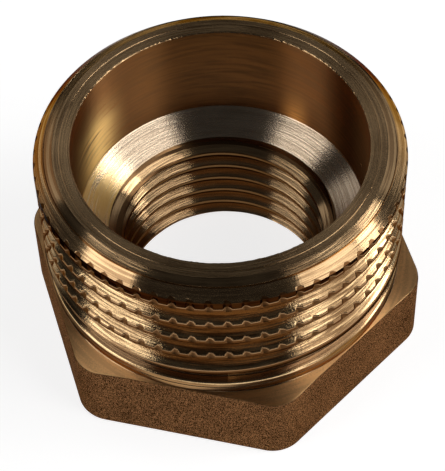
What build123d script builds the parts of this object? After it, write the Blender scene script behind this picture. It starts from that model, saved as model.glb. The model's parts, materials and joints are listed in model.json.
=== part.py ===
from build123d import *
import math
import os

# Hexagon reducing bush in brass, turned from one piece of metal.
# A male pipe thread stands on a hexagon foot, and a smaller female pipe thread runs through the foot.
# Millimetres, +Z up, with the origin on the axis at the foot that the bush stands on.

# Whole bush
overall_height = 23.0
edge_break = 0.15

# Hexagon for the spanner, with round corners and a top that falls a little towards them
across_flats = 33.0
hexagon_height = 8.0
hexagon_corner_radius = 3.2
hexagon_top_angle = 8.0
foot_edge_break = 0.3

# Male pipe thread, one inch nominal, given by the cylinder over its crests
male_thread_diameter = 33.249

# Chamfer that leads into the male thread, flatter towards the rim
lead_chamfer_width = 0.975
lead_chamfer_angle = 44.6
rim_bevel_width = 0.8
rim_bevel_angle = 23.0

# Turned collar that the mating fitting seats against, set in from the thread's crests
collar_setback = 0.225
collar_height = 1.25
collar_face_angle = 22.0

# Relief groove between the collar and the last turn of the thread, sunk below the crests
relief_depth = 1.524
relief_width = 1.5

# Stepped bore, with a drill-point cone between the counterbore and the thread
rim_width = 1.61
counterbore_depth = 10.2
cone_angle = 30.0

# Female pipe thread, half inch nominal, given by the cylinder inside its crests
female_thread_diameter = 18.631
foot_countersink_width = 1.2845
foot_countersink_angle = 45.0


def rise(outer_radius, inner_radius, angle):
    """Height of a cone between two radii, with its side at an angle to the face."""
    return (outer_radius - inner_radius) * math.tan(math.radians(angle))


# Radii of the turned profiles
male_thread_radius = male_thread_diameter / 2
female_thread_radius = female_thread_diameter / 2
lead_step_radius = male_thread_radius - lead_chamfer_width
rim_radius = lead_step_radius - rim_bevel_width
collar_radius = male_thread_radius - collar_setback
collar_face_radius = collar_radius - edge_break
relief_radius = male_thread_radius - relief_depth
counterbore_radius = rim_radius - rim_width
countersink_radius = female_thread_radius + foot_countersink_width

# Heights up the outside
collar_top = hexagon_height + collar_height
relief_floor = collar_top + rise(collar_face_radius, relief_radius, collar_face_angle)
thread_bottom = relief_floor + relief_width
lead_step_height = overall_height - rise(lead_step_radius, rim_radius, rim_bevel_angle)
thread_top = lead_step_height - rise(male_thread_radius, lead_step_radius, lead_chamfer_angle)

# Heights up the bore
countersink_top = rise(countersink_radius, female_thread_radius, foot_countersink_angle)
counterbore_floor = overall_height - counterbore_depth
cone_bottom = counterbore_floor - rise(counterbore_radius, female_thread_radius, cone_angle)

# Fall of the hexagon's top from the collar to its corners
corner_reach = across_flats / math.sqrt(3)
corner_fall = (corner_reach - collar_radius) * math.tan(math.radians(hexagon_top_angle))

os.makedirs("parts", exist_ok=True)

with BuildPart() as reducing_bush:
    # Hexagon prism with flats facing front and back
    with BuildSketch():
        hexagon = RegularPolygon(radius=across_flats / 2, side_count=6, major_radius=False)
        fillet(hexagon.vertices(), radius=hexagon_corner_radius)
    extrude(amount=hexagon_height)
    chamfer(faces().sort_by(Axis.Z)[0].edges(), length=foot_edge_break)

    # Shallow cone turned on the hexagon's top, from the collar out past the corners
    with BuildSketch(Plane.XZ):
        with BuildLine():
            Polyline(
                (0, 0),
                (corner_reach, 0),
                (corner_reach, hexagon_height - corner_fall),
                (collar_radius, hexagon_height),
                (0, hexagon_height),
                close=True,
            )
        make_face()
    revolve(axis=Axis.Z, mode=Mode.INTERSECT)

    # Collar with its sloping face, relief groove, cylinder over the male thread and its lead chamfer
    with BuildSketch(Plane.XZ):
        with BuildLine():
            Polyline(
                (0, hexagon_height),
                (collar_radius, hexagon_height),
                (collar_radius, collar_top - edge_break),
                (collar_face_radius, collar_top),
                (relief_radius, relief_floor),
                (relief_radius, thread_bottom),
                (male_thread_radius, thread_bottom),
                (male_thread_radius, thread_top),
                (lead_step_radius, lead_step_height),
                (rim_radius, overall_height),
                (0, overall_height),
                close=True,
            )
        make_face()
    revolve(axis=Axis.Z)

    # Countersink at the foot, cylinder inside the female thread, cone and counterbore
    with BuildSketch(Plane.XZ):
        with BuildLine():
            Polyline(
                (0, 0),
                (countersink_radius, 0),
                (female_thread_radius, countersink_top),
                (female_thread_radius, cone_bottom),
                (counterbore_radius, counterbore_floor),
                (counterbore_radius, overall_height - edge_break),
                (counterbore_radius + edge_break, overall_height),
                (0, overall_height),
                close=True,
            )
        make_face()
    revolve(axis=Axis.Z, mode=Mode.SUBTRACT)

reducing_bush.part.label = "reducing_bush"
export_step(reducing_bush.part, "parts/reducing_bush.step")
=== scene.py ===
import json
import math
from dataclasses import dataclass, fields

import bpy
from bpy.props import FloatProperty, FloatVectorProperty, IntProperty, PointerProperty
from mathutils import Matrix, Vector


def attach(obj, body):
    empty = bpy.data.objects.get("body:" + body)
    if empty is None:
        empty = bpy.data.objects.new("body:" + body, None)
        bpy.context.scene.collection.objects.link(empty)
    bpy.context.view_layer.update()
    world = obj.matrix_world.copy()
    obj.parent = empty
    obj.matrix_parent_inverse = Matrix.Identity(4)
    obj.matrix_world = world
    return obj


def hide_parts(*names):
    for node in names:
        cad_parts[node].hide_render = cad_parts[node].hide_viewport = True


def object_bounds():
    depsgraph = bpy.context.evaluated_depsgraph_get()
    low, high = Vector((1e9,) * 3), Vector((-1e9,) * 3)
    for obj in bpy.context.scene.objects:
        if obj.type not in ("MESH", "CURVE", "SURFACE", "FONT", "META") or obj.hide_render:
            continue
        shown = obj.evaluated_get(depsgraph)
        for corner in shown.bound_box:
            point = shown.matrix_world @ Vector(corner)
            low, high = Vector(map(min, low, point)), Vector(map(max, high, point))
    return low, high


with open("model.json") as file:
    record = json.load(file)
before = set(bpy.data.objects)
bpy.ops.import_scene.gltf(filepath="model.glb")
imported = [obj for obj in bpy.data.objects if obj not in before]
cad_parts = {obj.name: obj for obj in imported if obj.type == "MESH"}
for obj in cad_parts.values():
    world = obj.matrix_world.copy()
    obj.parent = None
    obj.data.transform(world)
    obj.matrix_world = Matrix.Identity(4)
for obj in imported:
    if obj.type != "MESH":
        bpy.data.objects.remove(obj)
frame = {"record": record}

bl_info = {
    "name": "Reducing bush",
    "version": (1, 0, 0),
    "blender": (4, 5, 0),
    "location": "3D View > Sidebar > Reducing bush",
    "description": "Turns a brass reducing bush with a knurled male thread and a tapped bore",
    "category": "Add Mesh",
}

CAD_LOW, CAD_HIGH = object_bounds()
MOUNTS = {mount["name"]: mount for mount in frame["record"]["mounts"]}
MM = 0.001
PICTURE_WIDTH = 445
PICTURE_HEIGHT = 471


def mount_radius(name):
    """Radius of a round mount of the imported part, in metres."""
    return MOUNTS[name]["dims"]["r_mm"] * MM


def amount(name, description, value, **options):
    """A number that the user can change."""
    return FloatProperty(name=name, description=description, default=value, **options)


def whole_number(name, description, value, least):
    """A whole number that the user can change."""
    return IntProperty(name=name, description=description, default=value, min=least)


def frame_length(name, description, metres):
    """A length that the user can change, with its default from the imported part."""
    return amount(name, description, metres, precision=5, unit="LENGTH")


def length(name, description, millimetres):
    """A length that the user can change, with its default in millimetres."""
    return frame_length(name, description, millimetres * MM)


def angle(name, description, degrees):
    """An angle that the user can change, with its default in degrees."""
    return amount(name, description, math.radians(degrees), unit="ROTATION")


def colour(name, description, value):
    """A colour that the user can change, in linear values."""
    return FloatVectorProperty(
        name=name, description=description, default=value, subtype="COLOR", size=3, min=0.0, max=1.0
    )


class BushBodySizes(bpy.types.PropertyGroup):
    """Sizes of the bush's hexagon, collar, rim and bore"""

    height: frame_length("Height", "Height from the foot to the rim", CAD_HIGH.z)
    counterbore_radius: frame_length(
        "Counterbore radius", "Radius of the wide mouth", mount_radius("counterbore")
    )
    counterbore_depth: length("Counterbore depth", "Depth of the wide mouth", 10.2)
    cone_angle: angle("Cone angle", "Slope of the cone under the counterbore", 30.0)
    mouth_break: length("Mouth break", "Width of the broken edge at the mouth", 0.12)
    rim_radius: length("Rim radius", "Outer radius of the flat rim", 14.85)
    rim_groove_radius: length("Rim groove radius", "Radius of the tool mark on the rim", 14.2)
    rim_groove_depth: length("Rim groove depth", "Depth of the tool mark on the rim", 0.025)
    lead_step_radius: length("Lead step radius", "Radius where the lead chamfer steepens", 15.65)
    lead_step_height: length("Lead step height", "Height where the lead chamfer steepens", 22.66)
    lead_foot: length("Lead foot", "Height where the lead chamfer meets the thread", 21.7)
    relief_radius: length("Relief radius", "Radius of the groove under the male thread", 15.1)
    relief_top: length("Relief top", "Height of the top of the groove", 11.22)
    collar_radius: length("Collar radius", "Radius of the turned collar", 16.4)
    collar_top: length("Collar top", "Height of the collar's edge", 9.25)
    collar_crown: length("Collar crown", "Height of the collar's face at the groove", 9.72)
    hexagon_height: length("Hexagon height", "Height of the hexagon at the collar", 8.0)
    across_flats: length("Across flats", "Width of the hexagon over its flats", 33.0)
    corner_radius: length("Corner radius", "Radius of the hexagon's corners", 3.2)
    hexagon_top_angle: angle("Hexagon top angle", "Fall of the hexagon's top towards its corners", 8.0)
    foot_break: length("Foot break", "Width of the broken edge at the foot", 0.3)
    countersink_radius: length("Countersink radius", "Radius of the foot's countersink", 10.6)
    columns_per_knurl: whole_number("Columns per knurl", "Mesh columns between two knurl notches", 6, 4)


class MaleThreadSizes(bpy.types.PropertyGroup):
    """Sizes of the male pipe thread and the knurl rolled over it"""

    crest_radius: frame_length(
        "Crest radius", "Radius over the crests", min(mount_radius("male_thread"), CAD_HIGH.y)
    )
    pitch: length("Pitch", "Rise of the thread in one turn", 2.309)
    crest_width: length("Crest width", "Height of the flat on each crest", 0.36)
    depth: length("Depth", "Depth of the thread below its crests", 1.47)
    flank_angle: angle("Flank angle", "Slope of the thread's sides", 27.5)
    straight: amount("Straight", "Share of the depth before the root curves", 1.0, min=0.5, max=1.0)
    edge_radius: length("Edge radius", "Rounding at the upper edge of each crest", 0.11)
    first_crest: length("First crest", "Height of a crest's upper edge at the front", 20.88)
    flank_rows: whole_number("Flank rows", "Mesh rows on a flank", 7, 2)
    knurl_count: whole_number("Knurl count", "Notches in one turn", 66, 12)
    knurl_phase: amount("Knurl phase", "Place of the front notch, in notches", 0.07)
    knurl_depth: length("Knurl depth", "Depth of a notch in the crest", 0.44)
    knurl_width: length("Knurl width", "Width of a notch at the crest", 0.62)
    knurl_floor: length("Knurl floor", "Height where the knurl ends", 12.75)
    knurl_rise: length("Knurl rise", "How far the notches run up the chamfer", 0.6)
    start_turn: amount("Start turn", "Turns from the front to where the thread starts", -0.50)
    start_fade: amount("Start fade", "Turns over which the thread deepens", 0.10, min=0.01)


class FemaleThreadSizes(bpy.types.PropertyGroup):
    """Sizes of the female pipe thread in the bore"""

    crest_radius: frame_length("Crest radius", "Radius inside the crests", mount_radius("female_thread"))
    pitch: length("Pitch", "Rise of the thread in one turn", 1.814)
    crest_width: length("Crest width", "Height of the flat on each crest", 0.30)
    depth: length("Depth", "Depth of the thread beyond its crests", 1.16)
    flank_angle: angle("Flank angle", "Slope of the thread's sides", 27.5)
    straight: amount("Straight", "Share of the depth before the root curves", 0.62, min=0.5, max=1.0)
    edge_radius: length("Edge radius", "Rounding at the upper edge of each crest", 0.06)
    first_crest: length("First crest", "Height of a crest's upper edge at the front", 9.535)
    flank_rows: whole_number("Flank rows", "Mesh rows on a flank", 3, 2)


class BrassColours(bpy.types.PropertyGroup):
    """Colours of the bush's brass where it is cut, tarnished or blasted, and lighter and darker copies of
    it that paint highlights, reflections and shade
    """

    cut: colour("Cut brass", "Freshly cut surfaces", (0.70, 0.46, 0.24))
    # Partly painted highlight: the flanks' brass, made lighter than the cut brass of the same turned
    # thread to match their bright reflections
    flank: colour("Flank", "Bright upper flanks of the male thread", (0.86, 0.59, 0.31))
    tarnish: colour("Tarnish", "Reddish film on older cuts", (0.22, 0.12, 0.055))
    # Painted shade: the crests are darkened to stand in for the dark reflection they show
    crest: colour("Crest", "Dull crests of the male thread", (0.13, 0.056, 0.02))
    # Partly painted highlight: the cone's satin brass, made paler and lighter than the cut brass to match
    # its bright reflections
    cone: colour("Cone", "Satin cone under the counterbore", (0.86, 0.68, 0.49))
    # Painted shade: the counterbore's wall is darkened to stand in for the dark reflection it shows; the
    # same colour darkens the lead chamfer
    bore: colour("Bore", "Counterbore's smooth wall, and the chamfer's stain", (0.36, 0.16, 0.054))
    # Painted highlights: gold patches on the counterbore's wall and the cone that stand in for
    # reflections of the lamps
    painted_highlight: colour("Rubbed", "Bright places on the counterbore's wall and the cone", (1.0, 0.66, 0.24))
    # Painted highlight: a reddish bright streak on the counterbore's wall in place of a lamp's reflection
    painted_amber_highlight: colour("Amber", "Reddish bright place on the counterbore's wall", (1.0, 0.48, 0.13))
    # Painted shade: a darker copy of the cut brass on the crests' rounded upper edges and on the collar,
    # to tame their reflections
    edge: colour("Edge", "Worn upper edges of the crests, and the collar", (0.40, 0.24, 0.12))
    # Painted shade on the thread undersides and the flanks' dark stripe; the same dark colour also makes
    # the streaks on the counterbore's wall
    groove: colour("Groove", "Dark thread undersides and stained flanks", (0.18, 0.10, 0.044))
    skin: colour("Skin", "Blasted skin of the hexagon, and the film on its top", (0.46, 0.24, 0.11))
    # Partly painted light: the hexagon's real satin top, made lighter than cut brass to stand in for
    # light the studio does not give it
    satin_and_painted_light: colour("Satin", "Hexagon's dull top", (0.90, 0.53, 0.23))
    # Real pits in the blasted skin; the same near-black is painted shade in the relief groove and on the
    # uncut thread land
    pits: colour("Pits", "Pits in the blasted skin, and the dark relief groove", (0.03, 0.013, 0.005))


class StudioSettings(bpy.types.PropertyGroup):
    """The camera, the floor and the dim room"""

    turn: angle("Turn", "Turn of the camera about the bush", 15.05)
    elevation: angle("Elevation", "Height of the camera above the horizon", 52.44)
    roll: angle("Roll", "Tilt of the picture", 2.09)
    distance: length("Distance", "From the camera to the aimed point", 171.87)
    aim_right: length("Aim right", "Aimed point to the right of the rim's centre", -0.06)
    aim_up: length("Aim up", "Aimed point above the rim's centre in the picture", -8.25)
    focal_pixels: amount("Focal length", "Focal length in pixels of the picture", 1950.0)
    floor_colour: colour("Floor", "Pale floor", (0.45, 0.45, 0.45))
    floor_glow: amount("Floor glow", "Even brightness of the floor", 0.80)
    surroundings: amount("Surroundings", "Brightness of the dim room", 0.025, min=0.0)


class BushSettings(bpy.types.PropertyGroup):
    """Everything that can be set on the bush and its studio"""

    body: PointerProperty(type=BushBodySizes)
    male: PointerProperty(type=MaleThreadSizes)
    female: PointerProperty(type=FemaleThreadSizes)
    brass: PointerProperty(type=BrassColours)
    studio: PointerProperty(type=StudioSettings)


# Values and rules in node trees

class Field:
    """A value in a node tree. Arithmetic on it adds Math nodes, so a rule reads as a formula."""

    def __init__(self, tree, socket):
        self.tree = tree
        self.socket = socket

    def math(self, operation, *others):
        return math_node(self.tree, operation, self, *others)

    def __add__(self, other):
        return self.math("ADD", other)

    def __sub__(self, other):
        return self.math("SUBTRACT", other)

    def __rsub__(self, other):
        return math_node(self.tree, "SUBTRACT", other, self)

    def __mul__(self, other):
        return self.math("MULTIPLY", other)

    def __truediv__(self, other):
        return self.math("DIVIDE", other)

    __radd__ = __add__

    def least(self, other):
        return self.math("MINIMUM", other)

    def most(self, other):
        return self.math("MAXIMUM", other)

    def over(self, limit):
        return self.math("GREATER_THAN", limit)


def plug(tree, value, socket):
    """Links a field to a socket, or sets the socket to a constant."""
    if isinstance(value, Field):
        tree.links.new(value.socket, socket)
    else:
        socket.default_value = value


def math_node(tree, operation, *values):
    """A Math node on fields and numbers."""
    node = tree.nodes.new("ShaderNodeMath")
    node.operation = operation
    for socket, value in zip(node.inputs, values):
        plug(tree, value, socket)
    return Field(tree, node.outputs[0])


def combine(tree, x, y, z):
    """A vector made of three fields or numbers."""
    node = tree.nodes.new("ShaderNodeCombineXYZ")
    for socket, value in zip(node.inputs, (x, y, z)):
        plug(tree, value, socket)
    return Field(tree, node.outputs[0])


def separate(tree, vector):
    """The three fields of a vector."""
    node = tree.nodes.new("ShaderNodeSeparateXYZ")
    plug(tree, vector, node.inputs[0])
    return [Field(tree, output) for output in node.outputs]


def mix(low, high, share):
    """The value a share of the way from low to high."""
    return low + (high - low) * share


# The bush's half section

FINISHES = (
    "tapped", "cone", "bored", "rim", "lead", "flank", "under", "crest", "edge", "relief", "collar",
    "top", "skin",
)
ALWAYS_BEGUN = -100.0
CHAMFER_SLIDE = 0.9


@dataclass
class Station:
    """One point of the half section, which becomes a ring or a turn of a helix on the bush.

    A thread point is cut into the radius, begins at its own wind of the thread, and rises with each turn
    between low and high. A notched point takes the knurl beyond its spare depth and slides up with it.
    A point inside keeps clear of the bore's cone and countersink. A point that reaches out goes to the
    hexagon's outline, less an inset, and falls with its top. A ragged point wavers.
    """

    radius: float
    height: float
    finish: str
    cut: float = 0.0
    wind: float = ALWAYS_BEGUN
    rise: float = 0.0
    low: float = -1.0
    high: float = 1.0
    notched: float = 0.0
    spare: float = 0.0
    slide: float = 0.0
    inside: float = 0.0
    reach: float = 0.0
    fall: float = 0.0
    inset: float = 0.0
    ragged: float = 0.0


STATION_FIELDS = [f.name for f in fields(Station) if f.name not in ("radius", "height", "finish")]


def thread_profile(thread):
    """Height, depth, finish above and notch share of each thread point, from one crest to the next."""
    slope = math.tan(thread.flank_angle)
    edge = thread.edge_radius
    crest = thread.crest_width
    gap = thread.pitch - crest
    run = thread.depth * slope
    # Upper flank, from the crest's rounded edge down
    yield 0.35 * edge, 0.75 * edge, "flank", 1.0
    for row in range(thread.flank_rows):
        share = mix(2 * edge / thread.depth, thread.straight, (row / thread.flank_rows) ** 1.4)
        yield run * share, thread.depth * share, "flank", 1.0
    # Root, curved where the flank stops short of it
    top = run * thread.straight
    yield top, thread.depth * thread.straight, "under", 0.0
    if thread.straight < 1.0:
        yield mix(top, gap / 2, 0.35), thread.depth * mix(thread.straight, 1.0, 0.75), "under", 0.0
        yield gap / 2, thread.depth, "under", 0.0
    yield gap - top, thread.depth * thread.straight, "under", 0.0
    # Underside of the next crest, its flat and its rounded edge
    yield gap - run * 0.45, thread.depth * 0.45, "under", 0.0
    yield gap, 0.0, "crest", 0.1
    yield gap + crest * 0.4, 0.0, "crest", 0.5
    yield thread.pitch - edge, 0.0, "edge", 1.0
    yield thread.pitch - 0.3 * edge, 0.25 * edge, "edge", 1.0


def thread_points(thread, low, high):
    """Every thread point that passes between two heights in one turn, from the lowest up."""
    turns = math.ceil((high - low) / thread.pitch) + 2
    profile = list(thread_profile(thread))
    for turn in range(-turns, turns):
        for height, depth, part, notched in profile:
            at = thread.first_crest + thread.pitch * turn + height
            if low - thread.pitch < at < high:
                yield at, depth, part, notched, turn


def bore_stations(body, female):
    """From the foot up through the female thread, the cone and the counterbore to the rim's edge."""
    floor = body.height - body.counterbore_depth
    cone_land = 0.12 * MM
    cone_foot = female.crest_radius + female.depth + cone_land
    thread_top = floor - (body.counterbore_radius - cone_foot) * math.tan(body.cone_angle)
    yield Station(body.countersink_radius, 0.0, "tapped")
    for height, depth, part, *_ in thread_points(female, 0.0, thread_top):
        # Female thread faces other than the upper flanks take the underside finish, whose dark colour is
        # painted shade
        yield Station(
            female.crest_radius, height, "tapped" if part == "flank" else "under",
            cut=depth, rise=female.pitch, low=0.0, high=thread_top, inside=1.0,
        )
    for share in (0.0, 0.2, 0.4, 0.6, 0.8, 0.97):
        radius = mix(cone_foot, body.counterbore_radius, share)
        yield Station(radius, mix(thread_top, floor, share), "cone")
    for share in (0.004, 0.03, 0.1, 0.2, 0.35, 0.5, 0.65, 0.8, 0.93, 0.985):
        yield Station(body.counterbore_radius, mix(floor, body.height - body.mouth_break, share), "bored")


def rim_stations(body):
    """Across the rim, from the mouth's broken edge over the tool mark to the lead chamfer."""
    edge = body.mouth_break
    inner = body.counterbore_radius
    groove = body.rim_groove_radius
    half_groove = 1.5 * body.rim_groove_depth
    burr = 0.09 * MM
    inner_land = 13.7 * MM
    outer_land = body.rim_radius - 0.1 * MM
    yield Station(inner + 0.02 * MM, body.height - 0.8 * edge, "rim", ragged=0.02 * MM)
    yield Station(inner + 0.6 * edge, body.height - 0.15 * edge, "rim", ragged=burr)
    yield Station(inner + 1.2 * edge, body.height, "rim", ragged=burr / 3)
    for radius in (inner_land, groove - half_groove):
        yield Station(radius, body.height, "rim")
    yield Station(groove, body.height - body.rim_groove_depth, "rim")
    for radius in (groove + half_groove, outer_land):
        yield Station(radius, body.height, "rim")


def lead_stations(body, male):
    """Down the lead chamfer, over the tool line where it steepens, to the thread's first crest."""
    step_radius, step_height = body.lead_step_radius, body.lead_step_height
    line = 0.08 * MM
    hollow = 0.02 * MM
    for share in (0.0, 0.12, 0.5, 0.9):
        radius = mix(body.rim_radius, step_radius, share)
        yield Station(radius, mix(body.height, step_height, share) - hollow * share, "lead")
    yield Station(step_radius - 0.6 * line, step_height - line, "lead")
    yield Station(step_radius + line, step_height - 0.2 * line, "lead")
    for share in (0.15, 0.4, 0.6, 0.75, 0.88, 0.96):
        radius = mix(step_radius + line, male.crest_radius, share)
        height = mix(step_height - 0.2 * line, body.lead_foot, share)
        spare = male.crest_radius - radius
        yield Station(radius, height, "lead", notched=1.0, spare=spare, slide=CHAMFER_SLIDE)
    yield Station(male.crest_radius, body.lead_foot, "crest", notched=1.0, slide=CHAMFER_SLIDE)


def male_thread_stations(body, male):
    """Down the male thread to the relief groove."""
    points = list(thread_points(male, body.relief_top, body.lead_foot))
    parts = [part for _, _, part, _, _ in points]
    slope = math.tan(male.flank_angle)
    for (height, depth, _, notched, turn), part in reversed(list(zip(points, ["crest", *parts[:-1]]))):
        yield Station(
            male.crest_radius, height, part,
            cut=-depth, wind=float(turn), rise=male.pitch, low=body.relief_top, high=body.lead_foot,
            notched=notched, spare=max(depth - 2 * male.edge_radius, 0.0), slide=slope * (notched > 0.9),
        )
    yield Station(body.relief_radius, body.relief_top, "relief")


def collar_stations(body):
    """The relief groove's floor, the collar's ringed face and its wall."""
    edge = 0.16 * MM
    root = 0.08 * MM
    line_depth = 0.05 * MM
    wall_line = 8.65 * MM
    half_line = 0.07 * MM
    outer = body.collar_radius - edge
    inner = body.relief_radius + root
    yield Station(body.relief_radius, mix(body.relief_top, body.collar_crown, 0.5), "relief")
    yield Station(body.relief_radius, body.collar_crown + root, "relief")
    yield Station(inner, body.collar_crown, "collar")
    for share, sink in ((0.44, 0.0), (0.5, line_depth), (0.56, 0.0), (0.86, 0.0)):
        height = mix(body.collar_crown, body.collar_top, share) - sink
        yield Station(mix(inner, outer, share), height, "collar")
    # The collar's rounded edge takes the flank finish, whose lighter colour is partly painted highlight
    yield Station(outer, body.collar_top, "flank")
    yield Station(body.collar_radius - 0.25 * edge, body.collar_top - 0.4 * edge, "flank")
    yield Station(body.collar_radius, body.collar_top - edge, "collar")
    yield Station(body.collar_radius, wall_line + half_line, "collar")
    yield Station(body.collar_radius - line_depth, wall_line, "collar")
    yield Station(body.collar_radius, wall_line - half_line, "collar")
    yield Station(body.collar_radius, body.hexagon_height + root / 2, "collar")


def hexagon_stations(body):
    """The hexagon's falling top, its flats and the foot."""
    edge = body.foot_break
    collar, top = body.collar_radius, body.hexagon_height
    for reach in (0.05, 0.35, 0.65, 0.9):
        yield Station(collar, top, "top", reach=reach, fall=reach)
    for drop, inset in ((0.0, 0.09 * MM), (0.03 * MM, 0.03 * MM)):
        yield Station(collar, top - drop, "skin", reach=1.0, fall=1.0, inset=inset)
    for share in (0.98, 0.8, 0.6, 0.4, 0.2, 0.0):
        yield Station(collar, mix(edge, top - 0.1 * MM, share), "skin", reach=1.0, fall=share)
    yield Station(collar, 0.3 * edge, "skin", reach=1.0, inset=0.3 * edge)
    yield Station(collar, 0.0, "skin", reach=1.0, inset=edge)
    for reach in (0.7, 0.4, 0.15):
        yield Station(body.countersink_radius, 0.0, "skin", reach=reach, inset=edge * reach)
    yield Station(body.countersink_radius, 0.0, "skin")


def half_section(settings):
    """All stations round the half section, from the foot up the bore and down the outside."""
    body = settings.body
    return [
        *bore_stations(body, settings.female),
        *rim_stations(body),
        *lead_stations(body, settings.male),
        *male_thread_stations(body, settings.male),
        *collar_stations(body),
        *hexagon_stations(body),
    ]


def section_object(stations):
    """The half section as a line of vertices, with each station's rules as attributes."""
    mesh = bpy.data.meshes.new("reducing_bush")
    points = [(station.radius, 0.0, station.height) for station in stations]
    edges = [(i, i + 1) for i in range(len(points) - 1)]
    mesh.from_pydata(points, edges, [])
    for name in STATION_FIELDS:
        attribute = mesh.attributes.new(name, "FLOAT", "POINT")
        attribute.data.foreach_set("value", [getattr(station, name) for station in stations])
    finish = mesh.attributes.new("finish", "FLOAT", "POINT")
    finish.data.foreach_set("value", [float(FINISHES.index(station.finish)) for station in stations])
    bush = bpy.data.objects.new("reducing_bush_brass", mesh)
    bpy.context.scene.collection.objects.link(bush)
    return bush


# The node tree that sweeps the section round the axis

KNURL_SEED = 4
KNURL_DEPTH_SHARES = (0.7, 1.1)
BURR_SCALE = 30.0
SEAM_GAP = 2e-6
SHARP_ANGLE = math.radians(34.0)


def turning_inputs(settings):
    """Named inputs of the turning tree, with their values."""
    body, male = settings.body, settings.male
    return {
        "Thread start": male.start_turn,
        "Thread fade": male.start_fade,
        "Knurl count": float(male.knurl_count),
        "Knurl depth": male.knurl_depth,
        "Knurl share": male.knurl_width * male.knurl_count / (2 * math.pi * male.crest_radius),
        "Knurl floor": male.knurl_floor,
        "Knurl phase": male.knurl_phase,
        "Knurl top": body.lead_foot + male.knurl_rise,
        "Knurl fade": male.knurl_rise,
        "Counterbore radius": body.counterbore_radius,
        "Counterbore floor": body.height - body.counterbore_depth,
        "Cone slope": math.tan(body.cone_angle),
        "Countersink radius": body.countersink_radius,
        "Collar radius": body.collar_radius,
        "Half across flats": body.across_flats / 2,
        "Corner radius": body.corner_radius,
        "Top slope": math.tan(body.hexagon_top_angle),
        "Front angle": settings.studio.turn - math.pi / 2,
        "Columns": float(male.knurl_count * body.columns_per_knurl),
    }


def new_turning_tree(inputs):
    """An empty geometry tree with one named input for each size."""
    tree = bpy.data.node_groups.new("Turned bush", "GeometryNodeTree")
    tree.is_modifier = True
    tree.interface.new_socket("Geometry", in_out="INPUT", socket_type="NodeSocketGeometry")
    for name, value in inputs.items():
        socket = tree.interface.new_socket(name, in_out="INPUT", socket_type="NodeSocketFloat")
        socket.default_value = value
    tree.interface.new_socket("Geometry", in_out="OUTPUT", socket_type="NodeSocketGeometry")
    return tree


def add(tree, kind, **properties):
    """A new node of a kind with its properties set."""
    node = tree.nodes.new(kind)
    for name, value in properties.items():
        setattr(node, name, value)
    return node


def sample_station(tree, section, name, row):
    """A station's attribute, read by its place along the section."""
    attribute = add(tree, "GeometryNodeInputNamedAttribute", data_type="FLOAT")
    attribute.inputs["Name"].default_value = name
    return sample_value(tree, section, attribute.outputs["Attribute"], row, "FLOAT")


def sample_value(tree, section, value, row, data_type):
    """A value of the section's points, read by index."""
    node = add(tree, "GeometryNodeSampleIndex", data_type=data_type, domain="POINT")
    tree.links.new(section, node.inputs["Geometry"])
    tree.links.new(value, node.inputs["Value"])
    plug(tree, row, node.inputs["Index"])
    return Field(tree, node.outputs["Value"])


def hexagon_radius(size, turn_angle):
    """Distance from the axis to the outline of a hexagon with round corners, by angle."""
    sixth = math.pi / 3
    half_flat, corner = size["Half across flats"], size["Corner radius"]
    beside_flat = (turn_angle + math.pi / 2).math("PINGPONG", sixth / 2)
    arc_centre = (half_flat - corner) / math.cos(sixth / 2)
    beside_corner = sixth / 2 - beside_flat
    arc_offset = arc_centre * beside_corner.math("SINE")
    arc = arc_centre * beside_corner.math("COSINE") + (
        corner * corner - arc_offset * arc_offset
    ).most(0.0).math("SQRT")
    tangent = ((half_flat - corner) * math.tan(sixth / 2) / half_flat).math("ARCTANGENT")
    flat = half_flat / beside_flat.math("COSINE")
    return mix(flat, arc, beside_flat.over(tangent))


def knurl_depth(tree, size, turn, height):
    """Depth of the V that each notch of the knurl cuts into the male crests."""
    notch = turn * size["Knurl count"] - size["Knurl phase"]
    from_notch = (notch - notch.math("ROUND")).math("ABSOLUTE")
    cut = (1.0 - from_notch / (size["Knurl share"] / 2)).most(0.0)
    chance = add(tree, "FunctionNodeRandomValue", data_type="FLOAT")
    chance.inputs[2].default_value, chance.inputs[3].default_value = KNURL_DEPTH_SHARES
    chance.inputs["Seed"].default_value = KNURL_SEED
    plug(tree, notch.math("ROUND").math("MODULO", size["Knurl count"]), chance.inputs["ID"])
    depth = size["Knurl depth"] * Field(tree, chance.outputs[1])
    ends = ((size["Knurl top"] - height) / size["Knurl fade"]).most(0.0).least(1.0)
    return cut * depth * ends * height.over(size["Knurl floor"])


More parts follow.
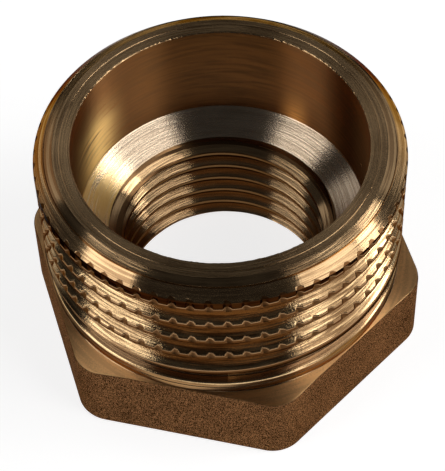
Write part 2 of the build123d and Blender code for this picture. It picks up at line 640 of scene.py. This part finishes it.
def turned_positions(tree, size, section):
    """Where each vertex of the swept grid goes, by the rules of its station."""
    index = Field(tree, tree.nodes.new("GeometryNodeInputIndex").outputs[0])
    count = add(tree, "GeometryNodeAttributeDomainSize", component="MESH")
    tree.links.new(section, count.inputs[0])
    stations = Field(tree, count.outputs["Point Count"])
    row = index.math("MODULO", stations)
    turn = (index / stations).math("FLOOR") / size["Columns"]
    turn_angle = turn * (2 * math.pi) + size["Front angle"]
    rule = {name: sample_station(tree, section, name, row) for name in STATION_FIELDS}
    place = tree.nodes.new("GeometryNodeInputPosition").outputs[0]
    radius, _, height = separate(tree, sample_value(tree, section, place, row, "FLOAT_VECTOR"))

    height = (height + rule["rise"] * turn).most(rule["low"]).least(rule["high"])
    begun = ((size["Thread start"] - turn - rule["wind"]) / size["Thread fade"]).most(0.0).least(1.0)
    radius = radius + rule["cut"] * begun
    notched = mix(rule["notched"].over(0.0), rule["notched"], begun)
    notch = (knurl_depth(tree, size, turn, height) * notched - rule["spare"] * begun).most(0.0)
    radius = radius - notch
    height = height + notch * rule["slide"] * begun
    cone = size["Counterbore radius"] - (size["Counterbore floor"] - height) / size["Cone slope"]
    female = radius.most(cone).most(size["Countersink radius"] - height)
    radius = radius + (female - radius) * rule["inside"]

    outline = hexagon_radius(size, turn_angle)
    radius = mix(radius, outline - rule["inset"], rule["reach"])
    height = height - (outline - size["Collar radius"]) * size["Top slope"] * rule["fall"]

    along = turn_angle.math("COSINE")
    across = turn_angle.math("SINE")
    rough = add(tree, "ShaderNodeTexNoise", noise_dimensions="2D")
    rough.inputs["Scale"].default_value = BURR_SCALE
    rough.inputs["Detail"].default_value = 3.0
    plug(tree, combine(tree, along, across, 0.0), rough.inputs["Vector"])
    radius = radius + (Field(tree, rough.outputs[0]) - 0.5) * rule["ragged"] * 2.0
    return combine(tree, radius * along, radius * across, height), stations


def turning_tree(settings, materials):
    """Geometry nodes that sweep the section round the axis, cut both threads and set the finishes."""
    inputs = turning_inputs(settings)
    tree = new_turning_tree(inputs)
    group = tree.nodes.new("NodeGroupInput")
    section = group.outputs["Geometry"]
    size = {name: Field(tree, group.outputs[name]) for name in inputs}
    position, stations = turned_positions(tree, size, section)

    grid = tree.nodes.new("GeometryNodeMeshGrid")
    plug(tree, size["Columns"] + 1.0, grid.inputs["Vertices X"])
    plug(tree, stations, grid.inputs["Vertices Y"])

    faces = Field(tree, tree.nodes.new("GeometryNodeInputIndex").outputs[0])
    face_row = faces.math("MODULO", stations - 1.0)
    face_turn = (faces / (stations - 1.0)).math("FLOOR") / size["Columns"]
    face_wind = sample_station(tree, section, "wind", face_row)
    face_depth = sample_station(tree, section, "cut", face_row) / -settings.male.depth
    # Faces of the thread rows before the thread begins take the relief finish: painted shade on the uncut
    # land
    run_out = size["Thread fade"] * (0.8 - face_depth * 0.6)
    begun = (size["Thread start"] - face_turn - face_wind).over(run_out)
    finish = add(tree, "GeometryNodeStoreNamedAttribute", data_type="FLOAT", domain="FACE")
    finish.inputs["Name"].default_value = "finish"
    face_finish = sample_station(tree, section, "finish", face_row)
    plug(tree, mix(float(FINISHES.index("relief")), face_finish, begun), finish.inputs["Value"])
    tree.links.new(grid.outputs["Mesh"], finish.inputs["Geometry"])

    swept = tree.nodes.new("GeometryNodeSetPosition")
    tree.links.new(finish.outputs[0], swept.inputs["Geometry"])
    plug(tree, position, swept.inputs["Position"])
    closed = tree.nodes.new("GeometryNodeMergeByDistance")
    closed.inputs["Distance"].default_value = SEAM_GAP
    tree.links.new(swept.outputs[0], closed.inputs["Geometry"])
    outward = tree.nodes.new("GeometryNodeFlipFaces")
    tree.links.new(closed.outputs[0], outward.inputs["Mesh"])

    bend = Field(tree, tree.nodes.new("GeometryNodeInputMeshEdgeAngle").outputs["Unsigned Angle"])
    sharp = add(tree, "GeometryNodeStoreNamedAttribute", data_type="BOOLEAN", domain="EDGE")
    sharp.inputs["Name"].default_value = "sharp_edge"
    plug(tree, bend.over(SHARP_ANGLE), sharp.inputs["Value"])
    tree.links.new(outward.outputs[0], sharp.inputs["Geometry"])

    real = tree.nodes.new("GeometryNodeRealizeInstances")
    tree.links.new(sharp.outputs[0], real.inputs["Geometry"])
    geometry = real.outputs[0]
    for number, name in enumerate(FINISHES):
        stored = add(tree, "GeometryNodeInputNamedAttribute", data_type="FLOAT")
        stored.inputs["Name"].default_value = "finish"
        chosen = Field(tree, stored.outputs["Attribute"]).math("COMPARE", float(number), 0.25)
        painted = tree.nodes.new("GeometryNodeSetMaterial")
        painted.inputs["Material"].default_value = materials[name]
        plug(tree, chosen, painted.inputs["Selection"])
        tree.links.new(geometry, painted.inputs["Geometry"])
        geometry = painted.outputs[0]
    tree.links.new(geometry, tree.nodes.new("NodeGroupOutput").inputs["Geometry"])
    return tree, inputs


def apply_tree(bush, tree, inputs):
    """Runs the tree on the object and keeps its result as a plain mesh."""
    modifier = bush.modifiers.new("Turning", "NODES")
    modifier.node_group = tree
    for item in tree.interface.items_tree:
        if item.in_out == "INPUT" and item.name in inputs:
            modifier[item.identifier] = inputs[item.name]
    evaluated = bush.evaluated_get(bpy.context.evaluated_depsgraph_get())
    mesh = bpy.data.meshes.new_from_object(evaluated)
    bush.modifiers.remove(modifier)
    bush.data = mesh
    return mesh


# Brass finishes

WANDER_SCALE = 60.0
PATCH_SCALE = 220.0
SPECKLE_SCALE = 7000.0
BLAST_SCALE = 13860.0
CLOUD_SCALE = 300.0
LINE_LENGTH = 5.0 * MM
MARK_FADE = 5.0 * MM
MARK_ROUGHNESS = 0.12
ACROSS_TOOL_LINES = 0.25


def new_material(name):
    """An empty node material, with its tree and principled shader."""
    material = bpy.data.materials.new(name)
    material.use_nodes = True
    tree = material.node_tree
    return material, tree, tree.nodes["Principled BSDF"]


def noise(tree, vector, scale, detail=2.0, roughness=0.5):
    """Noise over a vector, from 0 to 1."""
    node = tree.nodes.new("ShaderNodeTexNoise")
    node.inputs["Scale"].default_value = scale
    node.inputs["Detail"].default_value = detail
    node.inputs["Roughness"].default_value = roughness
    plug(tree, vector, node.inputs["Vector"])
    return Field(tree, node.outputs["Fac"])


def object_place(tree):
    """Object coordinates, as a vector and as x, y and z."""
    coordinates = Field(tree, tree.nodes.new("ShaderNodeTexCoord").outputs["Object"])
    return coordinates, separate(tree, coordinates)


def spread(field, low, high):
    """Stretches a field so that low becomes 0 and high becomes 1, clamped."""
    node = field.tree.nodes.new("ShaderNodeMapRange")
    node.inputs["From Min"].default_value = low
    node.inputs["From Max"].default_value = high
    plug(field.tree, field, node.inputs["Value"])
    return Field(field.tree, node.outputs["Result"])


def mix_colour(tree, low, high, share):
    """A colour a share of the way from low to high."""
    node = tree.nodes.new("ShaderNodeMix")
    node.data_type = "RGBA"
    plug(tree, share, node.inputs["Factor"])
    for socket, value in ((node.inputs["A"], low), (node.inputs["B"], high)):
        plug(tree, value if isinstance(value, Field) else (*value, 1.0), socket)
    return Field(tree, node.outputs["Result"])


def bump(tree, height, distance):
    """A bump of a height field, in metres."""
    node = tree.nodes.new("ShaderNodeBump")
    node.inputs["Distance"].default_value = distance
    plug(tree, height, node.inputs["Height"])
    return Field(tree, node.outputs["Normal"])


@dataclass
class PaintedMark:
    """A patch of painted highlight or painted shade on a turned face: its colour, turn, half width and
    top.
    """

    colour: tuple
    turn: float
    half_width: float
    top: float

    def share(self, x, y, z, radius):
        """How much of the mark lies on a place, fading out to its sides and its top."""
        facing = (x * math.cos(self.turn) + y * math.sin(self.turn)) / radius
        height = spread(z, self.top, self.top - MARK_FADE)
        share = spread(facing, math.cos(self.half_width), 1.0) * height
        return share * share


def turned_brass(
    name, cut, tarnish, film, roughness, line_gap, line_depth, brushed=0.9, grain=0.0, painted_marks=()
):
    """Brass cut on a lathe, with tool lines that spread its shine, a streaky film of tarnish, and patches
    of painted highlight and painted shade.
    """
    material, tree, shader = new_material(name)
    place, (x, y, z) = object_place(tree)
    radius = (x * x + y * y).math("SQRT")
    wander = noise(tree, place, WANDER_SCALE) * (0.4 * line_gap)
    along = (x + y * 0.6) * (line_gap / LINE_LENGTH)
    lines = noise(tree, combine(tree, radius + wander, z + wander, along), 1.0 / line_gap, 2.0, 0.6)
    patches = noise(tree, place, PATCH_SCALE, 4.0, 0.6)
    speckle = noise(tree, place, SPECKLE_SCALE, 2.0, 0.6)
    streaks = spread(patches * 0.5 + lines + (speckle - 0.5) * grain, 0.64, 0.88)
    base = mix_colour(tree, cut, tarnish, streaks * film)
    # How much painted highlight and painted shade covers each place; it also roughens the brass there
    painted_cover = 0.0
    for mark in painted_marks:
        share = mark.share(x, y, z, radius) * spread(lines, 0.24, 0.50)
        base = mix_colour(tree, base, mark.colour, share)
        painted_cover = painted_cover + share
    plug(tree, base, shader.inputs["Base Color"])
    shader.inputs["Specular Tint"].default_value = (*(0.5 * part for part in tarnish), 1.0)
    uneven = (lines - 0.5) * (0.5 * roughness)
    plug(tree, roughness + uneven + painted_cover * MARK_ROUGHNESS, shader.inputs["Roughness"])
    shader.inputs["Metallic"].default_value = 1.0
    shader.inputs["Anisotropic"].default_value = brushed
    shader.inputs["Anisotropic Rotation"].default_value = ACROSS_TOOL_LINES
    plug(tree, combine(tree, 0.0 - y, x, 0.0), shader.inputs["Tangent"])
    plug(tree, bump(tree, lines + speckle * grain, line_depth), shader.inputs["Normal"])
    return material


def blasted_brass(name, skin, pits):
    """The hexagon's blasted skin: fine grain with dark pits."""
    material, tree, shader = new_material(name)
    place, _ = object_place(tree)
    grain = noise(tree, place, BLAST_SCALE, 3.0, 0.6)
    clouds = noise(tree, place, CLOUD_SCALE, 3.0)
    pitted = spread(grain * 0.92 + clouds * 0.08, 0.60, 0.45)
    base = mix_colour(tree, skin, pits, pitted)
    plug(tree, base, shader.inputs["Base Color"])
    plug(tree, base, shader.inputs["Specular Tint"])
    shader.inputs["Metallic"].default_value = 1.0
    plug(tree, 0.62 + pitted * 0.15, shader.inputs["Roughness"])
    plug(tree, bump(tree, grain, 0.10 * MM), shader.inputs["Normal"])
    return material


def painted_brass_mark(colour, turn, half_width, top):
    """A mark with its angles in degrees and its top in millimetres."""
    return PaintedMark(colour[:], math.radians(turn), math.radians(half_width), top * MM)


def bush_materials(brass):
    """One brass finish for each kind of surface of the bush, several of them lightened or darkened to
    paint highlights, reflections and shade.
    """
    cut, flank, tarnish, crest, cone, bore, edge, groove, skin, satin_and_painted_light, pits = (
        colour[:]
        for colour in (
            brass.cut, brass.flank, brass.tarnish, brass.crest, brass.cone, brass.bore, brass.edge,
            brass.groove, brass.skin, brass.satin_and_painted_light, brass.pits,
        )
    )
    # Painted highlights on the counterbore's wall, placed by turn and height
    painted_wall_highlights = painted_brass_mark(brass.painted_highlight, 169.0, 25.0, 22.0), painted_brass_mark(brass.painted_amber_highlight, 72.0, 9.0, 18.0)
    return {
        "tapped": turned_brass(
            "tapped_brass", cut, tarnish,
            film=0.50, roughness=0.16, line_gap=0.22 * MM, line_depth=0.015 * MM,
        ),
        "cone": turned_brass(
            "satin_cone_brass_painted_highlight", cone, tarnish,
            film=0.32, roughness=0.20, line_gap=0.15 * MM, line_depth=0.012 * MM,
            # The cone's gold mark is a painted reflection beside its highlight
            brushed=0.85, grain=0.6, painted_marks=[painted_brass_mark(brass.painted_highlight, 180.0, 28.0, 18.0)],
        ),
        # The counterbore's wall: darkened brass that paints its dark reflection, with painted highlights
        # on it
        "bored": turned_brass(
            "bored_brass_painted_shade_and_highlights", bore, groove,
            film=0.45, roughness=0.40, line_gap=0.35 * MM, line_depth=0.004 * MM,
            brushed=1.0, painted_marks=painted_wall_highlights,
        ),
        "rim": turned_brass(
            "faced_rim_brass", cut, tarnish,
            film=0.65, roughness=0.26, line_gap=0.14 * MM, line_depth=0.04 * MM,
            brushed=0.95, grain=0.35,
        ),
        "lead": turned_brass(
            "lead_chamfer_brass_painted_shade", cut, tarnish,
            film=0.70, roughness=0.16, line_gap=0.20 * MM, line_depth=0.018 * MM,
            # Painted shade: the bore's darkened colour laid on one side of the lead chamfer, in place of
            # a darker reflection there
            painted_marks=[painted_brass_mark(bore, 200.0, 30.0, 27.5)],
        ),
        "flank": turned_brass(
            "thread_flank_brass_painted_light", flank, tarnish,
            film=0.90, roughness=0.15, line_gap=0.20 * MM, line_depth=0.022 * MM,
            # Painted shade: a dark stripe on the flanks at one turn, in place of a dark reflection
            grain=0.25, painted_marks=[painted_brass_mark(groove, 324.5, 13.0, 27.0)],
        ),
        # The thread undersides: darkened brass that paints the shade under each crest
        "under": turned_brass(
            "thread_underside_brass_painted_shade", groove, crest,
            film=0.30, roughness=0.25, line_gap=0.20 * MM, line_depth=0.008 * MM,
        ),
        # The crests: darkened brass that paints a dark reflection
        "crest": turned_brass(
            "thread_crest_brass_painted_shade", crest, groove,
            film=0.40, roughness=0.30, line_gap=0.25 * MM, line_depth=0.010 * MM,
        ),
        # The crests' rounded upper edges: darkened brass, painted shade
        "edge": turned_brass(
            "edge_brass_painted_shade", edge, crest,
            film=0.50, roughness=0.25, line_gap=0.25 * MM, line_depth=0.008 * MM,
        ),
        # The relief groove: near-black brass that paints the groove's deep shade
        "relief": turned_brass(
            "relief_brass_painted_shade", pits, crest,
            film=0.35, roughness=0.25, line_gap=0.25 * MM, line_depth=0.008 * MM,
        ),
        # The collar: darkened brass under a heavy film, painted shade in place of its darker reflection
        "collar": turned_brass(
            "collar_brass_painted_shade", edge, tarnish,
            film=0.95, roughness=0.20, line_gap=0.18 * MM, line_depth=0.012 * MM,
        ),
        "top": turned_brass(
            "hexagon_top_brass_painted_light", satin_and_painted_light, skin,
            film=0.45, roughness=0.42, line_gap=0.50 * MM, line_depth=0.012 * MM,
            brushed=0.95, grain=0.6,
        ),
        "skin": blasted_brass("blasted_hexagon_brass", skin, pits),
    }


class BUSH_OT_turn(bpy.types.Operator):
    """Turn the bush: sweep its section, cut its threads and finish its brass"""

    bl_idname = "reducing_bush.turn"
    bl_label = "Turn reducing bush"

    def execute(self, context):
        settings = context.scene.reducing_bush
        bush = section_object(half_section(settings))
        tree, inputs = turning_tree(settings, bush_materials(settings.brass))
        mesh = apply_tree(bush, tree, inputs)
        if not mesh.polygons:
            raise RuntimeError("the turning tree made no faces")
        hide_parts("reducing_bush")
        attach(bush, "root")
        return {"FINISHED"}


# Studio

@dataclass
class Softbox:
    """A soft light from a corner along two sides, measured right, away and up as the camera sees it."""

    name: str
    corner: tuple
    side: tuple
    depth: tuple
    brightness: float


SOFTBOXES = (
    Softbox("left_softbox", (-0.48, -0.20, 0.855), (-0.24, 0.356, -0.128), (-0.19, -0.50, -0.49), 2.0),
    Softbox("right_softbox", (0.34, -0.31, 0.89), (0.167, -0.279, -0.347), (0.335, 0.39, -0.12), 2.7),
    Softbox("right_low_fill", (0.507, -0.589, 0.543), (0.103, -0.171, -0.213), (0.335, 0.39, -0.12), 1.5),
    Softbox("right_strip", (0.62, 0.12, 0.77), (0.255, -0.345, -0.40), (0.105, 0.14, -0.125), 6.0),
    Softbox("back_fill", (-0.30, 0.62, 0.72), (0.60, 0.0, 0.0), (0.0, 0.35, -0.40), 0.11),
    Softbox("back_left_fill", (-0.30, 0.62, 0.72), (0.04, 0.35, -0.40), (-0.75, -0.40, 0.0), 0.40),
    Softbox("back_right_fill", (0.30, 0.62, 0.72), (0.75, -0.40, 0.0), (-0.04, 0.35, -0.40), 0.36),
)


def camera_frame(studio, height):
    """Camera matrix that looks at the bush from the picture's side."""
    turn = Matrix.Rotation(studio.turn, 3, "Z")
    elevation = studio.elevation
    forward = Vector((0.0, math.cos(elevation), -math.sin(elevation)))
    up = Vector((0.0, math.sin(elevation), math.cos(elevation)))
    aim = Vector((studio.aim_right, 0.0, height)) + up * studio.aim_up
    place = turn @ (aim - forward * studio.distance)
    right = Vector((1.0, 0.0, 0.0))
    basis = Matrix((right, up, -forward)).transposed()
    rolled = turn @ basis @ Matrix.Rotation(-studio.roll, 3, "Z")
    return Matrix.Translation(place) @ rolled.to_4x4()


def make_camera(studio, height):
    """A camera with the picture's angle of view."""
    data = bpy.data.cameras.new("camera")
    data.sensor_width = 36.0
    data.lens = data.sensor_width * studio.focal_pixels / max(PICTURE_WIDTH, PICTURE_HEIGHT)
    data.clip_start = 0.01
    data.clip_end = 20.0
    camera = bpy.data.objects.new("camera", data)
    camera.matrix_world = camera_frame(studio, height)
    bpy.context.scene.collection.objects.link(camera)
    bpy.context.scene.camera = camera


def floor_material(studio):
    """A pale floor that takes the bush's shadow and looks evenly white to the eye and in the metal."""
    material, tree, shader = new_material("pale_floor")
    shader.inputs["Base Color"].default_value = (*studio.floor_colour, 1.0)
    shader.inputs["Roughness"].default_value = 0.9
    shader.inputs["Specular IOR Level"].default_value = 0.0
    shader.inputs["Emission Color"].default_value = (1.0, 1.0, 1.0, 1.0)
    path = tree.nodes.new("ShaderNodeLightPath")
    seen = Field(tree, path.outputs["Is Camera Ray"])
    for kind in ("Is Glossy Ray", "Is Transmission Ray"):
        seen = seen.most(Field(tree, path.outputs[kind]))
    plug(tree, seen * studio.floor_glow, shader.inputs["Emission Strength"])
    return material


def make_floor(studio):
    """A wide pale floor under the bush."""
    mesh = bpy.data.meshes.new("floor")
    half = 6.0
    corners = [(-half, -half, 0.0), (half, -half, 0.0), (half, half, 0.0), (-half, half, 0.0)]
    mesh.from_pydata(corners, [], [(0, 1, 2, 3)])
    mesh.materials.append(floor_material(studio))
    floor = bpy.data.objects.new("floor", mesh)
    bpy.context.scene.collection.objects.link(floor)


def make_softbox(studio, softbox):
    """An area light that fills a softbox and faces the bush."""
    side, depth = Vector(softbox.side), Vector(softbox.depth)
    data = bpy.data.lights.new(softbox.name, "AREA")
    data.shape = "RECTANGLE"
    data.size, data.size_y = side.length, depth.length
    data.energy = softbox.brightness * math.pi * side.length * depth.length
    back = side.cross(depth).normalized()
    across = back.cross(side).normalized()
    basis = Matrix((side.normalized(), across, back)).transposed().to_4x4()
    centre = Vector(softbox.corner) + side / 2 + depth / 2
    light = bpy.data.objects.new(softbox.name, data)
    light.matrix_world = Matrix.Rotation(studio.turn, 4, "Z") @ Matrix.Translation(centre) @ basis
    bpy.context.scene.collection.objects.link(light)


def make_surroundings(studio):
    """A dim room round the studio."""
    world = bpy.data.worlds.new("dim_room")
    world.use_nodes = True
    background = world.node_tree.nodes["Background"]
    background.inputs["Color"].default_value = (1.0, 1.0, 1.0, 1.0)
    background.inputs["Strength"].default_value = studio.surroundings
    bpy.context.scene.world = world


class BUSH_OT_set_studio(bpy.types.Operator):
    """Set the camera, the floor and the soft lights round the bush"""

    bl_idname = "reducing_bush.set_studio"
    bl_label = "Set studio"

    def execute(self, context):
        settings = context.scene.reducing_bush
        studio = settings.studio
        make_camera(studio, settings.body.height)
        make_floor(studio)
        for softbox in SOFTBOXES:
            make_softbox(studio, softbox)
        make_surroundings(studio)
        context.scene.view_settings.view_transform = "Standard"
        return {"FINISHED"}


class BUSH_PT_sidebar(bpy.types.Panel):
    """Buttons and sizes of the reducing bush"""

    bl_idname = "BUSH_PT_sidebar"
    bl_label = "Reducing bush"
    bl_space_type = "VIEW_3D"
    bl_region_type = "UI"
    bl_category = "Reducing bush"

    def draw(self, context):
        settings = context.scene.reducing_bush
        self.layout.operator(BUSH_OT_turn.bl_idname)
        self.layout.operator(BUSH_OT_set_studio.bl_idname)
        for group in (settings.body, settings.male, settings.female, settings.brass, settings.studio):
            box = self.layout.box()
            for name in group.__annotations__:
                box.prop(group, name)


CLASSES = (
    BushBodySizes, MaleThreadSizes, FemaleThreadSizes, BrassColours, StudioSettings, BushSettings,
    BUSH_OT_turn, BUSH_OT_set_studio, BUSH_PT_sidebar,
)


def register():
    for cls in CLASSES:
        bpy.utils.register_class(cls)
    bpy.types.Scene.reducing_bush = PointerProperty(type=BushSettings)


def unregister():
    del bpy.types.Scene.reducing_bush
    for cls in reversed(CLASSES):
        bpy.utils.unregister_class(cls)


def main():
    """Builds the bush and its studio."""
    register()
    bpy.ops.reducing_bush.turn()
    bpy.ops.reducing_bush.set_studio()


if __name__ == "__main__":
    main()
